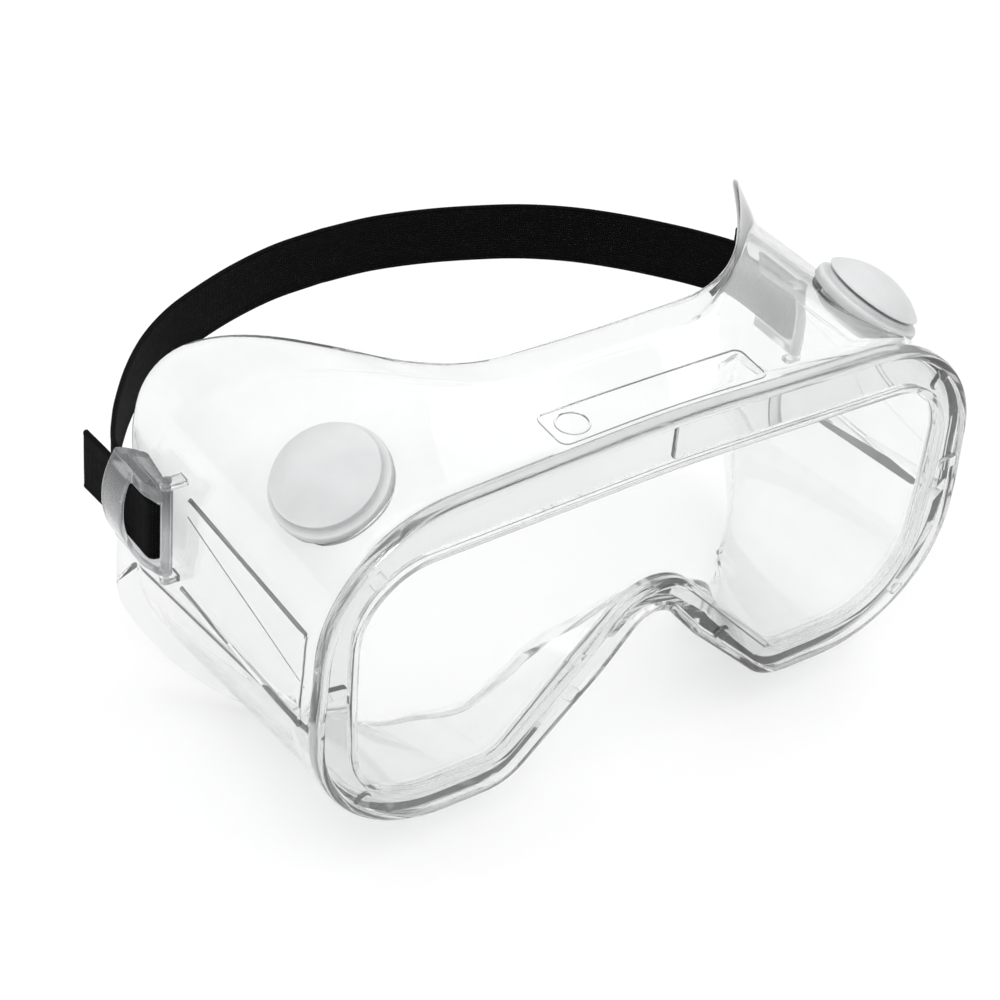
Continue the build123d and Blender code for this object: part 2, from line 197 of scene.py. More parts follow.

# ---- strap: routes are (x, depth) on the right-hand side
STRAP_HALF_HEIGHT = 7.5
STRAP_MIDDLE = 3.0
STRAP_FALL = 0.0524       # slope of the strap behind LEG_END
LEG_END = 76.5
STRAP_BACK = [(81.75, 76.5), (81.6, 79.5), (80.4, 83), (77.6, 88), (73.5, 94.3), (66, 104), (57.5, 112.8),
              (48, 119.8), (38, 124.8), (26, 129.4), (13, 132.6), (0, 133.5)]
STRAP_FOLD = [(81.75, 76.6), (81.75, 70), (81.75, 63.2), (81.75, 60.7), (82.1, 59.65), (83.08, 59.18),
              (84.05, 59.65), (84.4, 60.7), (84.4, 63.2), (84.4, 70), (84.4, 78), (84.9, 86.5)]
# One face of its section: share of the half height, half the thickness. The edges are thicker.
STRAP_FACE = [(-1, 0.0), (-0.985, 0.42), (-0.94, 0.58), (-0.88, 0.6), (-0.84, 0.5), (-0.45, 0.52),
              (0, 0.53), (0.45, 0.52), (0.84, 0.5), (0.88, 0.6), (0.94, 0.58), (0.985, 0.42)]

# ---- stage, in metres; the world's tones are (height of the view, grey level)
FLOOR_HALF = 4
LIGHTS_AIM = (0, 0, 0.05)
WORLD_TONES = [(0.0, 0.36), (0.15, 0.4), (0.45, 0.87), (1.0, 0.93)]

# ---- camera: degrees, millimetres of focal length, and its place in the goggles' millimetres
CAMERA_AZIMUTH = -37.54
CAMERA_ELEVATION = 37.87
CAMERA_ROLL = 5.86
CAMERA_LENS = 100.8
CAMERA_PLACE = (-294.6, -327.3, 357.8)


def at(x, depth, height):
    """Point in metres, from millimetres across, behind the rim's front and above the lens's middle."""
    return Vector((x, FRONT + depth, FACE_HEIGHT + height)) * MM


# ------------------------------------------------------------------ mesh helpers

def add_object(name, mesh, body, material):
    piece = bpy.data.objects.new(name, mesh)
    bpy.context.scene.collection.objects.link(piece)
    mesh.materials.clear()
    mesh.materials.append(material)
    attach(piece, body)
    return piece


def shade(mesh, sharp):
    """Smooth shading, apart from edges sharper than an angle in degrees."""
    mesh.shade_smooth()
    mesh.set_sharp_from_angle(angle=radians(sharp))


def mesh_of(name, verts, faces, sharp=35):
    mesh = bpy.data.meshes.new(name)
    mesh.from_pydata([tuple(v) for v in verts], [], faces)
    bm = bmesh.new()
    bm.from_mesh(mesh)
    bmesh.ops.recalc_face_normals(bm, faces=bm.faces)
    bm.to_mesh(mesh)
    bm.free()
    shade(mesh, sharp)
    return mesh


def grid(rings, closed_rings=True, closed_loop=True, caps=False):
    """Vertices and faces that join rings of points, each ring the same length.

    closed_rings joins each ring's ends, closed_loop joins the last ring to the first, and caps fills
    the first and last rings.
    """
    count, size = len(rings), len(rings[0])
    verts = [point for ring in rings for point in ring]
    faces = []
    for i in range(count if closed_loop else count - 1):
        for j in range(size if closed_rings else size - 1):
            a, b = i * size + j, i * size + (j + 1) % size
            c, d = (i + 1) % count * size + (j + 1) % size, (i + 1) % count * size + j
            faces.append((a, b, c, d))
    if caps:
        faces.append(tuple(range(size)))
        faces.append(tuple(range((count - 1) * size, count * size)))
    return verts, faces


def rounded(half):
    """Closed outline with arcs at its corners, sampled alike whatever its shape, as (x, height)."""
    corners = half + half[-2:0:-1]
    mirrored = len(half)
    points = [Vector((x if i < mirrored else -x, z)) for i, (x, z, _) in enumerate(corners)]
    corner_steps = CORNER_STEPS + CORNER_STEPS[-2:0:-1]
    run_steps = RUN_STEPS + RUN_STEPS[::-1]
    arcs = []
    for i, here in enumerate(points):
        before, after = points[i - 1], points[(i + 1) % len(points)]
        heading, leaving = (here - before).normalized(), (after - here).normalized()
        turn = heading.angle_signed(leaving)
        radius = corners[i][2]
        start = here - heading * radius * tan(abs(turn) / 2)
        toward = Vector((heading.y, -heading.x)) if turn > 0 else Vector((-heading.y, heading.x))
        centre = start + toward * radius
        steps = corner_steps[i]
        arc = []
        for k in range(steps):
            spoke = start - centre
            spoke.rotate(Matrix.Rotation(-turn * k / (steps - 1), 2))
            arc.append(centre + spoke)
        arcs.append(arc)
    outline = []
    for i, arc in enumerate(arcs):
        outline += arc
        end, start = arc[-1], arcs[(i + 1) % len(arcs)][0]
        steps = run_steps[i]
        outline += [end.lerp(start, (k + 1) / (steps + 1)) for k in range(steps)]
    return outline


def normals_of(outline):
    """Outward normals of an outline that runs clockwise, seen from the front."""
    result = []
    for i in range(len(outline)):
        along = (outline[(i + 1) % len(outline)] - outline[i - 1]).normalized()
        result.append(Vector((-along.y, along.x)))
    return result


def lathe(profile, origin, axis, steps=96, closed=False):
    """Vertices and faces of a profile of (radius, rise), turned about an axis."""
    axis = Vector(axis).normalized()
    side = axis.orthogonal().normalized()
    other = axis.cross(side)
    rings = []
    for k in range(steps):
        angle = 2 * pi * k / steps
        spoke = side * cos(angle) + other * sin(angle)
        rings.append([origin + (spoke * radius + axis * rise) * MM for radius, rise in profile])
    return grid(rings, closed_rings=closed)


def arc_through(first, middle, last, steps):
    """Points on the circle through three points, from first to last."""
    ax, ay, bx, by, cx, cy = *first, *middle, *last
    d = 2 * (ax * (by - cy) + bx * (cy - ay) + cx * (ay - by))
    ux = ((ax**2 + ay**2) * (by - cy) + (bx**2 + by**2) * (cy - ay) + (cx**2 + cy**2) * (ay - by)) / d
    uy = ((ax**2 + ay**2) * (cx - bx) + (bx**2 + by**2) * (ax - cx) + (cx**2 + cy**2) * (bx - ax)) / d
    centre = Vector((ux, uy))
    start, end = Vector(first) - centre, Vector(last) - centre
    turn = start.angle_signed(end)
    points = []
    for k in range(steps + 1):
        spoke = start.copy()
        spoke.rotate(Matrix.Rotation(-turn * k / steps, 2))
        points.append(tuple(centre + spoke))
    return points


def tube(path, radius, sides, closed=False):
    """Vertices and faces of a round tube along points in metres; radius in millimetres."""
    rings = []
    up = None
    for i, point in enumerate(path):
        ahead = path[(i + 1) % len(path)] if closed or i < len(path) - 1 else point
        behind = path[i - 1] if closed or i > 0 else point
        along = (ahead - behind).normalized()
        up = along.orthogonal() if up is None else up - along * up.dot(along)
        up.normalize()
        other = along.cross(up)
        ring = []
        for k in range(sides):
            angle = 2 * pi * k / sides
            ring.append(point + (up * cos(angle) + other * sin(angle)) * radius * MM)
        rings.append(ring)
    return grid(rings, closed_loop=closed, caps=not closed)


def smooth_step(low, high, value):
    t = min(max((value - low) / (high - low), 0), 1)
    return t * t * (3 - 2 * t)


def curve_through(points, step):
    """Points about a step apart on a smooth curve through the given points."""
    fine = 40
    ends = [points[0] * 2 - points[1]] + points + [points[-1] * 2 - points[-2]]
    dense = []
    for i in range(1, len(ends) - 2):
        a, b, c, d = ends[i - 1:i + 3]
        for k in range(fine):
            t = k / fine
            dense.append(0.5 * (2 * b + (c - a) * t + (2 * a - 5 * b + 4 * c - d) * t**2
                                + (3 * b - 3 * c + d - a) * t**3))
    dense.append(points[-1])
    total = sum((q - p).length for p, q in zip(dense, dense[1:]))
    count = max(2, round(total / step))
    result, walked, target = [dense[0]], 0.0, total / count
    for p, q in zip(dense, dense[1:]):
        length = (q - p).length
        while length > 0 and walked + length >= target - 1e-9 and len(result) < count:
            result.append(p.lerp(q, (target - walked) / length))
            target += total / count
        walked += length
    result.append(points[-1])
    return result


# ------------------------------------------------------------------ materials

def new_material(name):
    """New material, its node tree and its Principled shader."""
    material = bpy.data.materials.new(name)
    material.use_nodes = True
    return material, material.node_tree, material.node_tree.nodes["Principled BSDF"]


def noise(tree, scale, detail):
    """Noise fixed to the object."""
    texture = tree.nodes.new("ShaderNodeTexNoise")
    texture.inputs["Scale"].default_value = scale
    texture.inputs["Detail"].default_value = detail
    place = tree.nodes.new("ShaderNodeTexCoord")
    tree.links.new(place.outputs["Object"], texture.inputs["Vector"])
    return texture.outputs["Fac"]


def ramp(tree, source, stops):
    """Colour ramp on a value. stops are (position, colour or grey level)."""
    node = tree.nodes.new("ShaderNodeValToRGB")
    elements = node.color_ramp.elements
    while len(elements) < len(stops):
        elements.new(0.5)
    for element, (position, colour) in zip(elements, stops):
        element.position = position
        element.color = (*colour, 1) if isinstance(colour, tuple) else (colour, colour, colour, 1)
    tree.links.new(source, node.inputs["Fac"])
    return node.outputs["Color"]


def vary(tree, shader, socket, source, stops):
    """Varies one of the shader's sockets by a ramp on a value."""
    tree.links.new(ramp(tree, source, stops), shader.inputs[socket])


def bump(tree, source, shader, strength, distance):
    node = tree.nodes.new("ShaderNodeBump")
    node.inputs["Strength"].default_value = strength
    node.inputs["Distance"].default_value = distance
    tree.links.new(source, node.inputs["Height"])
    tree.links.new(node.outputs["Normal"], shader.inputs["Normal"])


def absorb(tree, grey, density):
    """Greys light by the length of its way through the material."""
    depth = tree.nodes.new("ShaderNodeVolumeAbsorption")
    depth.inputs["Color"].default_value = (grey, grey, grey, 1)
    depth.inputs["Density"].default_value = density
    tree.links.new(depth.outputs["Volume"], tree.nodes["Material Output"].inputs["Volume"])


def let_light_through(tree, shader, tint):
    """Lets lamps shine through a clear material, dimmed by a tint."""
    path = tree.nodes.new("ShaderNodeLightPath")
    clear = tree.nodes.new("ShaderNodeBsdfTransparent")
    clear.inputs["Color"].default_value = (tint, tint, tint, 1)
    mix = tree.nodes.new("ShaderNodeMixShader")
    tree.links.new(path.outputs["Is Shadow Ray"], mix.inputs["Fac"])
    tree.links.new(shader.outputs["BSDF"], mix.inputs[1])
    tree.links.new(clear.outputs["BSDF"], mix.inputs[2])
    tree.links.new(mix.outputs["Shader"], tree.nodes["Material Output"].inputs["Surface"])


def clear_vinyl():
    """Soft clear plastic, slightly cloudy and wavy."""
    material, tree, shader = new_material("clear_vinyl")
    shader.inputs["IOR"].default_value = 1.45
    cloud = noise(tree, 35, 4)
    vary(tree, shader, "Base Color", cloud, [(0.3, (0.965, 0.975, 0.975)), (0.7, (0.995, 1.0, 1.0))])
    vary(tree, shader, "Transmission Weight", cloud, [(0.35, 0.90), (0.65, 0.97)])
    vary(tree, shader, "Roughness", noise(tree, 140, 5), [(0.35, 0.0), (0.7, 0.03)])
    bump(tree, noise(tree, 55, 2), shader, 0.04, 0.0004)
    absorb(tree, 0.5, 60)
    let_light_through(tree, shader, 0.95)
    return material


def clear_lens():
    """Hard clear plastic."""
    material, tree, shader = new_material("clear_lens_pane")
    shader.inputs["IOR"].default_value = 1.5
    shader.inputs["Transmission Weight"].default_value = 1.0
    vary(tree, shader, "Base Color", noise(tree, 20, 3), [(0.3, (0.985, 0.99, 0.99)), (0.7, (1.0, 1.0, 1.0))])
    vary(tree, shader, "Roughness", noise(tree, 260, 5), [(0.4, 0.0), (0.8, 0.03)])
    let_light_through(tree, shader, 0.97)
    return material


def white_vent():
    """Milky white plastic with a fine satin grain."""
    material, tree, shader = new_material("milky_white_plastic")
    shader.inputs["IOR"].default_value = 1.48
    shader.inputs["Subsurface Weight"].default_value = 0.6
    shader.inputs["Subsurface Radius"].default_value = (0.004, 0.004, 0.004)
    shader.inputs["Subsurface Scale"].default_value = 1.0
    cloud = noise(tree, 90, 4)
    vary(tree, shader, "Base Color", cloud, [(0.3, (0.64, 0.645, 0.65)), (0.7, (0.72, 0.725, 0.73))])
    vary(tree, shader, "Roughness", noise(tree, 700, 6), [(0.3, 0.42), (0.7, 0.6)])
    bump(tree, noise(tree, 1800, 3), shader, 0.12, 0.0001)
    return material


def smoky_buckle_painted_shade():
    """Smoky clear plastic with painted shade: its base colour darkens with height, over the thick upper arm.
    """
    material, tree, shader = new_material("smoky_clear_plastic_painted_shade")
    shader.inputs["IOR"].default_value = 1.47
    flow = noise(tree, 160, 5)
    # Painted shade: thick, a ramp on the object's height, darkens the base colour from pale below to dark
    # above.
    place = tree.nodes.new("ShaderNodeTexCoord")
    split = tree.nodes.new("ShaderNodeSeparateXYZ")
    tree.links.new(place.outputs["Object"], split.inputs["Vector"])
    height = tree.nodes.new("ShaderNodeMapRange")
    pale, dark = BUCKLE_PAINTED_SHADE_HEIGHTS
    height.inputs["From Min"].default_value = (FACE_HEIGHT + pale) * MM
    height.inputs["From Max"].default_value = (FACE_HEIGHT + dark) * MM
    tree.links.new(split.outputs["Z"], height.inputs["Value"])
    thick = ramp(tree, height.outputs["Result"], [(0.0, (0.80, 0.81, 0.82)), (1.0, (0.40, 0.41, 0.42))])
    mix = tree.nodes.new("ShaderNodeMix")
    mix.data_type = "RGBA"
    mix.blend_type = "MULTIPLY"
    mix.inputs["Factor"].default_value = 1.0
    tree.links.new(thick, mix.inputs["A"])
    tree.links.new(ramp(tree, flow, [(0.3, 0.85), (0.7, 1.0)]), mix.inputs["B"])
    tree.links.new(mix.outputs["Result"], shader.inputs["Base Color"])
    vary(tree, shader, "Transmission Weight", flow, [(0.35, 0.76), (0.7, 0.86)])
    vary(tree, shader, "Roughness", noise(tree, 500, 4), [(0.3, 0.06), (0.7, 0.11)])
    bump(tree, noise(tree, 260, 3), shader, 0.02, 0.0003)
    let_light_through(tree, shader, 0.8)
    return material


def black_webbing():
    """Woven elastic: cross ribs and fine lengthwise cords, from the strap's own UV in millimetres."""
    material, tree, shader = new_material("black_webbing")
    place = tree.nodes.new("ShaderNodeUVMap")
    place.uv_map = "UVMap"
    weave = tree.nodes.new("ShaderNodeMath")
    weave.operation = "MULTIPLY"
    for i, (direction, scale) in enumerate((("X", 0.62), ("Y", 0.45))):
        wave = tree.nodes.new("ShaderNodeTexWave")
        wave.bands_direction = direction
        wave.inputs["Scale"].default_value = scale
        wave.inputs["Distortion"].default_value = 0.35
        wave.inputs["Detail"].default_value = 1.0
        tree.links.new(place.outputs["UV"], wave.inputs["Vector"])
        tree.links.new(wave.outputs["Fac"], weave.inputs[i])
    cords = weave.outputs["Value"]
    vary(tree, shader, "Base Color", cords, [(0.0, (0.001, 0.001, 0.0012)), (1.0, (0.008, 0.008, 0.009))])
    vary(tree, shader, "Roughness", noise(tree, 900, 5), [(0.3, 0.8), (0.7, 1.0)])
    shader.inputs["Specular IOR Level"].default_value = 0.05
    shader.inputs["Sheen Weight"].default_value = 0.02
    bump(tree, cords, shader, 0.6, 0.00025)
    return material


def pale_floor():
    material, tree, shader = new_material("pale_floor")
    vary(tree, shader, "Base Color", noise(tree, 3, 3), [(0.3, 0.93), (0.7, 0.95)])
    shader.inputs["Roughness"].default_value = 0.9
    shader.inputs["Specular IOR Level"].default_value = 0.1
    return material


VINYL = clear_vinyl()
PANE = clear_lens()
WHITE = white_vent()
SMOKY_PAINTED_SHADE = smoky_buckle_painted_shade()
WEBBING = black_webbing()


# ------------------------------------------------------------------ body

rim, opening = rounded(RIM), rounded(OPENING)
skirt_front, skirt_root = rounded(SKIRT_FRONT), rounded(SKIRT_ROOT)
flange = rounded(FLANGE)
rim_out, opening_out = normals_of(rim), normals_of(opening)
skirt_out = [((a + b) / 2).normalized() for a, b in zip(normals_of(skirt_front), normals_of(skirt_root))]
flange_out = normals_of(flange)


def face_edge(x, height):
    """Depth of the flange's edge: a brow that sweeps back to the temples, round cheeks and a nose bridge."""
    across = min(abs(x), TEMPLE)
    brow = BROW_DEPTH + TEMPLE_REACH * smooth_step(BROW_MIDDLE, TEMPLE, across) ** BROW_SWEEP
    cheek = FACE_DEPTH + FACE_RADIUS - sqrt(FACE_RADIUS**2 - across**2) + FACE_LEAN * height
    cheek -= NOSE_RISE * (1 - smooth_step(*NOSE_SPAN, across))
    return cheek + (brow - cheek) * smooth_step(*BROW_HEIGHTS, height)


def flange_tip(i):
    x, height = flange[i]
    return Vector((x, face_edge(x, height) + FLANGE_REACH, height))


def root_depth(i):
    """Depth where the skirt's wall ends and the face flange begins."""
    x, height = flange[i]
    across = abs(x)
    temple = smooth_step(*TEMPLE_SPAN, across)
    corner = smooth_step(*CORNER_HEIGHTS, height) * smooth_step(*CORNER_START, across)
    corner *= 1 - smooth_step(*CORNER_END, across)
    return flange_tip(i).y - FLANGE_WIDTH - TEMPLE_WIDTH * temple - CORNER_WIDTH * corner


def skirt_at(i, depth, inward=0.0):
    """Point of the skirt's wall at one station, moved inward by part of its thickness."""
    share = (depth - SKIRT_FRONT_DEPTH) / (root_depth(i) - SKIRT_FRONT_DEPTH)
    x, height = skirt_front[i].lerp(skirt_root[i], share) - skirt_out[i] * inward
    return Vector((x, depth, height))


def around(point, out, section):
    """Points of a section of (offset outward, depth) at one point of an outline."""
    places = [(point + out * offset, depth) for offset, depth in section]
    return [Vector((place.x, depth, place.y)) for place, depth in places]


def bend_through(start, corner, end, shares):
    """Points at some shares of the way on the curve from start to end that bends at a corner."""
    return [start * (1 - t) ** 2 + corner * 2 * t * (1 - t) + end * t * t for t in shares]


def body_section(i):
    """Closed section of the moulding at one station: rim, bead, skirt, flange and back again."""
    section = around(opening[i], opening_out[i], LIP_SECTION)
    middle = (opening[i] + opening_out[i] * LIP_SECTION[-1][0] + rim[i] - rim_out[i] * BEAD) / 2
    section.append(Vector((middle.x, RECESS, middle.y)))
    section += around(rim[i], rim_out[i], BEAD_SECTION)

    # outside of the skirt, and the bend into the flange
    root, tip = root_depth(i), flange_tip(i)
    wall_end = root - BEND
    section += [skirt_at(i, OUTER_START + (wall_end - OUTER_START) * k / 14) for k in range(15)]
    bend, start = skirt_at(i, root), skirt_at(i, wall_end)
    leaving = (tip - bend).normalized()
    finish = bend + leaving * BEND
    half = FLANGE_THICK / 2
    edge = tip - leaving * half
    section += bend_through(start, bend, finish, (0.25, 0.5, 0.75))
    section += [finish.lerp(edge, t) for t in (0, 0.25, 0.5, 0.75)]

    # rounded edge; inward is the flange's normal on the wearer's side
    x, height = flange_out[i]
    inward = Vector((-height, 0, x)).cross(leaving).normalized()
    if inward.y - 0.4 * (inward.x * x + inward.z * height) < 0:
        inward.negate()
    middle = edge + inward * half
    section += [middle + leaving * half * sin(angle) - inward * half * cos(angle)
                for angle in (0.0, 0.35 * pi, 0.5 * pi, 0.65 * pi, pi)]

    # inside of the flange and of the skirt, then the rim's rear face and the lens's groove
    behind, length = INNER_BEND
    inner_start, inner_bend = skirt_at(i, wall_end, WALL), skirt_at(i, root + behind, WALL)
    inner_tip = middle + inward * half
    inner_finish = inner_bend.lerp(inner_tip, min(0.5, length / (inner_tip - inner_bend).length))
    section += [inner_finish.lerp(inner_tip, t) for t in (0.8, 0.5, 0.25)]
    section += bend_through(inner_start, inner_bend, inner_finish, (1.0, 0.75, 0.5, 0.25))
    section += [skirt_at(i, wall_end + (INNER_START - wall_end) * k / 10, WALL) for k in range(11)]
    depth, reach = FILLET
    section.append(skirt_at(i, depth, WALL + reach))
    front, rear = GROOVE_DEPTHS
    back = [(0.6, RIM_DEPTH), (0.15, 4.85), (0, 4.5), (0, rear), (GROOVE, rear), (GROOVE, front)]
    return section + around(opening[i], opening_out[i], back)


def combine(mesh, added, removed):
    """Mesh united with some solids and with others cut away; each solid is vertices and faces."""
    piece = bpy.data.objects.new("combined", mesh)
    bpy.context.scene.collection.objects.link(piece)
    groups = []
    for operation, solids in (("UNION", added), ("DIFFERENCE", removed)):
        group = bpy.data.collections.new(operation)
        bpy.context.scene.collection.children.link(group)
        for verts, faces in solids:
            group.objects.link(bpy.data.objects.new("solid", mesh_of("solid", verts, faces)))
        modifier = piece.modifiers.new(operation, "BOOLEAN")
        modifier.operation = operation
        modifier.operand_type = "COLLECTION"
        modifier.collection = group
        modifier.solver = "EXACT"
        groups.append(group)
    evaluated = piece.evaluated_get(bpy.context.evaluated_depsgraph_get())
    result = bpy.data.meshes.new_from_object(evaluated)
    bpy.data.objects.remove(piece)
    for group in groups:
        for solid in list(group.objects):
            bpy.data.objects.remove(solid)
        bpy.data.collections.remove(group)
    return result


def vent_frame(side):
    """Middle of a vent's seat, and the way that the vent looks."""
    axis = Vector((side * VENT_AXIS[0], VENT_AXIS[1], VENT_AXIS[2])).normalized()
    return at(side * VENT_SEAT[0], VENT_SEAT[1], VENT_SEAT[2]), axis


moulding = mesh_of("moulding", *grid([[at(*point) for point in body_section(i)] for i in range(len(rim))]))
moulding_corners = [corner.co for corner in moulding.vertices]
moulding_tree = BVHTree.FromPolygons(moulding_corners, [face.vertices[:] for face in moulding.polygons])


def on_side(side, depth, height):
    """Point on the skirt's outer side wall, found from well outside it."""
    return moulding_tree.ray_cast(at(side * 95, depth, height), Vector((-side, 0, 0)))[0]


def on_top(x, depth):
    """Point on the skirt's top wall, found from well above it."""
    return moulding_tree.ray_cast(at(x, depth, 60), Vector((0, 0, -1)))[0]


def face_mark(outer, inner):
    """Locating tab across the rim's face, from the bead to the lip."""
    outer, inner = Vector(outer), Vector(inner)
    along = (outer - inner).normalized()
    across = Vector((-along.y, along.x))
    centre = inner + along * MARK_HALF_WIDTH
    rings = []
    for inset, depth in MARK_STEPS:
        half = MARK_HALF_WIDTH - inset
        ends = [outer - across * half - along, outer + across * half - along]
        angles = [pi * k / 24 for k in range(25)]
        ring = [centre - along * sin(angle) * half + across * cos(angle) * half for angle in angles]
        rings.append([at(point.x, depth, point.y) for point in ring + ends])
    return grid(rings, closed_loop=False, caps=True)


def side_line(side, start, end, radius):
    """Raised line on the side wall, between two points given by depth and height."""
    places = [Vector(start).lerp(Vector(end), k / 24) for k in range(25)]
    return tube([on_side(side, place.x, place.y) for place in places], radius, 12)


def label_lines():
    """Raised frame on the top wall, with a plain ring at one end."""
    half_length, half_width = LABEL_SIZE[0] / 2 - LABEL_CORNER, LABEL_SIZE[1] / 2 - LABEL_CORNER
    path = []
    for cx, cy, start in ((1, 1, 0), (-1, 1, 90), (-1, -1, 180), (1, -1, 270)):
        for k in range(9):
            angle = radians(start + 90 * k / 8)
            path.append(Vector((cx * half_length + LABEL_CORNER * cos(angle),
                                LABEL_DEPTH + cy * half_width + LABEL_CORNER * sin(angle))))
    dense = []
    for here, there in zip(path, path[1:] + path[:1]):
        steps = max(1, int((there - here).length / 2))
        dense += [here.lerp(there, k / steps) for k in range(steps)]
    angles = [2 * pi * k / 48 for k in range(48)]
    ring = [on_top(LABEL_RING_X + LABEL_RING * cos(angle), LABEL_DEPTH + LABEL_RING * sin(angle))
            for angle in angles]
    return [tube([on_top(*place) for place in dense], LABEL_LINE, 8, closed=True),
            tube(ring, LABEL_LINE, 8, closed=True)]


def ear(side, low, high):
    """Lug that holds one end of the buckle's pin, between two heights, with its edges taken off."""
    middle = Vector((side * HINGE[0], HINGE[1]))
    angles = [pi * (k / 16 - 0.5) for k in range(17)]
    outline = [middle + Vector((side * cos(a), sin(a))) * EAR_RADIUS for a in angles]
    outline += [Vector((side * EAR_ROOT, HINGE[1] + reach)) for reach in (EAR_RADIUS, -EAR_RADIUS)]
    centre = Vector((side * (HINGE[0] - 1), HINGE[1]))
    steps = [(shrink, low + rise) for shrink, rise in EAR_BEVEL]
    steps += [(shrink, high - rise) for shrink, rise in reversed(EAR_BEVEL)]
    rings = []
    for shrink, height in steps:
        moved = [point + (centre - point).normalized() * shrink for point in outline]
        rings.append([at(point.x, point.y, height) for point in moved])
    return grid(rings, closed_loop=False, caps=True)


def make_body():
    """One clear moulding: rim, skirt and flange with its marks, rails, label, lugs and vent seats."""
    added = [face_mark(*MIDDLE_MARK)] + label_lines()
    for (a, b), (c, d) in MARKS:
        added += [face_mark((a, b), (c, d)), face_mark((-a, b), (-c, d))]
    upper, lower = RAIL_HEIGHTS
    removed = []
    for side, hand in SIDES:
        added.append(lathe(SEAT_PROFILE, *vent_frame(side), closed=True))
        for height in RAIL_HEIGHTS:
            added.append(side_line(side, (RAIL_FRONT, height), (RAIL_REAR, height), RAIL_RADIUS))
        added.append(side_line(side, (RAIL_FRONT, upper), (RAIL_FRONT, lower), RAIL_END_RADIUS))
        added.append(side_line(side, *CREASE, CREASE_RADIUS))
        added += [ear(side, *heights) for heights in EAR_HEIGHTS]
        removed.append(lathe(HOLE_PROFILE, *vent_frame(side)))
    mesh = combine(moulding, added, removed)
    shade(mesh, 40)
    piece = add_object("body_moulding", mesh, "goggles", VINYL)
    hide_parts("body")


make_body()


def make_pane():
    """Flat lens in the rim's groove, with its edges taken off."""
    front, rear = PANE_DEPTHS
    rings = []
    for grip, depth in ((PANE_GRIP - PANE_BEVEL, front), (PANE_GRIP, front + PANE_BEVEL),
                        (PANE_GRIP, rear - PANE_BEVEL), (PANE_GRIP - PANE_BEVEL, rear)):
        outline = [point + out * grip for point, out in zip(opening, opening_out)]
        rings.append([at(point.x, depth, point.y) for point in outline])
    mesh = mesh_of("lens_pane", *grid(rings, closed_loop=False, caps=True))
    piece = add_object("lens_pane", mesh, "goggles", PANE)
    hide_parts("lens")


def paint(node, material):
    """Gives a CAD node its material."""
    piece = frame["nodes"][node]
    piece.data.materials.clear()
    piece.data.materials.append(material)


# ------------------------------------------------------------------ vents

def make_cap(side, hand):
    """Domed cap with its stem."""
    profile = arc_through(*CAP_DOME, 24) + CAP_EDGE + arc_through(*CAP_UNDER, 10) + CAP_STEM
    mesh = mesh_of("vent_cap_shell_" + hand, *lathe(profile, *vent_frame(side), 128))
    piece = add_object("vent_cap_shell_" + hand, mesh, "vent_cap_" + hand, WHITE)
    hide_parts("vent_cap_" + hand)


def make_plug(side, hand):
    """Stepped plug under the cap, with its spokes and hub."""
    origin, axis = vent_frame(side)
    half_length, half_width = SPOKE_HALF
    corners = ((-1, -1), (1, -1), (1, 1), (-1, 1))
    spokes = []
    side_way = axis.orthogonal().normalized()
    for way in (side_way, axis.cross(side_way)):
        other = axis.cross(way)
        ring = [way * u * half_length + other * v * half_width for u, v in corners]
        spokes.append(grid([[origin + (point + axis * rise) * MM for point in ring] for rise in SPOKE_RISES],
                           closed_loop=False, caps=True))
    hub = lathe(HUB_PROFILE, origin, axis, 48, closed=True)
    bore = lathe(HUB_BORE, origin, axis, 48)
    plug = mesh_of("plug", *lathe(PLUG_PROFILE, origin, axis, 128, closed=True))
    mesh = combine(plug, spokes + [hub], [bore])
    shade(mesh, 35)
    piece = add_object("vent_plug_" + hand, mesh, "goggles", WHITE)
    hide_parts("vent_base_" + hand)
    paint("vent_baffle_" + hand, WHITE)


for side, hand in SIDES:
    make_cap(side, hand)
    make_plug(side, hand)

make_pane()


# ------------------------------------------------------------------ buckles

def prism(side, outline, heights):
    """Vertices and faces of an upright prism on an outline of (x, depth)."""
    rings = [[at(side * x, depth, height) for x, depth in outline] for height in heights]
    return grid(rings, closed_loop=False, caps=True)


def make_buckle(side, hand):
    """Moulded buckle: the CAD shape with a block on its upper arm, a bevelled rear and rounded edges."""
    node = frame["nodes"]["buckle_" + hand]
    shape = combine(node.data.copy(), [prism(side, BLOCK_OUTLINE, BLOCK_HEIGHTS)],
                    [prism(side, BEVEL_OUTLINE, BEVEL_HEIGHTS)])
    source = bpy.data.objects.new("buckle_source", shape)
    bpy.context.scene.collection.objects.link(source)
    remesh = source.modifiers.new("even", "REMESH")
    remesh.mode = "VOXEL"
    remesh.voxel_size = BUCKLE_VOXEL * MM
    soften = source.modifiers.new("soften", "SMOOTH")
    soften.factor = 0.5
    soften.iterations = BUCKLE_SOFTENING
    evaluated = source.evaluated_get(bpy.context.evaluated_depsgraph_get())
    mesh = bpy.data.meshes.new_from_object(evaluated)
    bpy.data.objects.remove(source)
    mesh.shade_smooth()
    piece = add_object("buckle_moulding_" + hand, mesh, "buckle_" + hand, SMOKY_PAINTED_SHADE)
    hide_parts("buckle_" + hand)
    paint("buckle_pin_" + hand, SMOKY_PAINTED_SHADE)


for side, hand in SIDES:
    make_buckle(side, hand)


# ------------------------------------------------------------------ strap

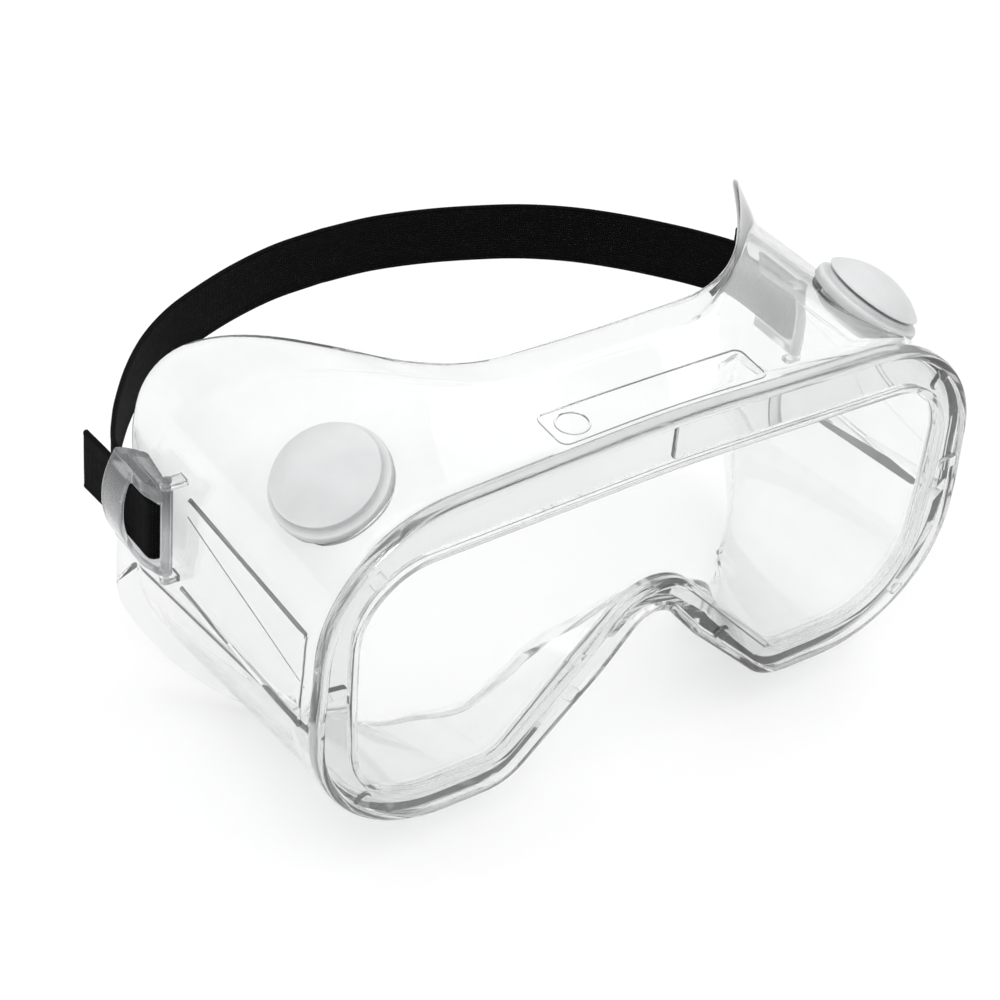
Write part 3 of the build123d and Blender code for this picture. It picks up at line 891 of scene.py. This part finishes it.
def webbing(name, side, route, step, fall):
    """Flat elastic along a route, with thick edges and a UV in millimetres.

    fall is its slope behind LEG_END.
    """
    path = curve_through([Vector((side * x, depth)) for x, depth in route], step)
    outline = STRAP_FACE + [(1, 0.0)] + [(across, -thick) for across, thick in reversed(STRAP_FACE[1:])]
    rings, lengths, walked = [], [], 0.0
    for i, point in enumerate(path):
        ahead, behind = path[min(i + 1, len(path) - 1)], path[max(i - 1, 0)]
        along = (ahead - behind).normalized()
        out = Vector((along.y, -along.x))
        if i:
            walked += (point - path[i - 1]).length
        lengths.append(walked)
        middle = STRAP_MIDDLE - fall * max(point.y - LEG_END, 0)
        ring = [(point + out * thick, middle + across * STRAP_HALF_HEIGHT) for across, thick in outline]
        rings.append([at(place.x, place.y, height) for place, height in ring])
    mesh = mesh_of(name, *grid(rings, closed_loop=False, caps=True), 50)
    layer = mesh.uv_layers.new(name="UVMap")
    for loop in mesh.loops:
        i, j = divmod(loop.vertex_index, len(outline))
        layer.data[loop.index].uv = (lengths[i], outline[j][0] * STRAP_HALF_HEIGHT)
    piece = bpy.data.objects.new(name, mesh)
    bpy.context.scene.collection.objects.link(piece)
    mesh.materials.append(WEBBING)
    return piece


# The band follows its buckle where it leaves it, and the goggles from the side of the head round the back.
for side, hand in SIDES:
    band = webbing("strap_band_" + hand, side, STRAP_BACK, 1.0, STRAP_FALL)
    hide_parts("strap_band")
    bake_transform(band)
    end = webbing("strap_fold_" + hand, side, STRAP_FOLD, 0.7, 0)
    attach(end, "buckle_" + hand)
    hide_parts("strap_end_" + hand)


# ------------------------------------------------------------------ stage, lights and camera

def make_stage():
    verts = [(x * FLOOR_HALF, y * FLOOR_HALF, 0) for x, y in ((-1, -1), (1, -1), (1, 1), (-1, 1))]
    mesh = mesh_of("floor", verts, [(0, 1, 2, 3)])
    mesh.materials.append(pale_floor())
    floor = bpy.data.objects.new("floor", mesh)
    bpy.context.scene.collection.objects.link(floor)


def make_world():
    """Soft white studio, darker towards the horizon, which draws the clear parts' edges."""
    world = bpy.data.worlds.new("studio")
    bpy.context.scene.world = world
    world.use_nodes = True
    tree = world.node_tree
    place = tree.nodes.new("ShaderNodeTexCoord")
    split = tree.nodes.new("ShaderNodeSeparateXYZ")
    tree.links.new(place.outputs["Generated"], split.inputs["Vector"])
    tone = ramp(tree, split.outputs["Z"], WORLD_TONES)
    tree.links.new(tone, tree.nodes["Background"].inputs["Color"])
    tree.nodes["Background"].inputs["Strength"].default_value = 1.0


def area_light(name, place, size, power):
    light = bpy.data.lights.new(name, "AREA")
    light.size = size
    light.energy = power
    lamp = bpy.data.objects.new(name, light)
    bpy.context.scene.collection.objects.link(lamp)
    lamp.location = place
    lamp.rotation_euler = (Vector(LIGHTS_AIM) - lamp.location).to_track_quat("-Z", "Y").to_euler()


def make_camera():
    camera = bpy.data.objects.new("camera", bpy.data.cameras.new("camera"))
    camera.data.lens = CAMERA_LENS
    camera.data.clip_start = 0.01
    turn = (Matrix.Rotation(radians(CAMERA_AZIMUTH), 4, "Z")
            @ Matrix.Rotation(pi / 2 - radians(CAMERA_ELEVATION), 4, "X")
            @ Matrix.Rotation(radians(CAMERA_ROLL), 4, "Z"))
    camera.matrix_world = Matrix.Translation(at(*CAMERA_PLACE)) @ turn
    bpy.context.scene.collection.objects.link(camera)
    bpy.context.scene.camera = camera


make_stage()
make_world()
area_light("key", place=(-0.6, -0.5, 1.3), size=1.2, power=7.4)
area_light("fill", place=(0.9, 0.3, 1.1), size=1.2, power=3.0)
make_camera()
bpy.context.scene.view_settings.view_transform = "Standard"
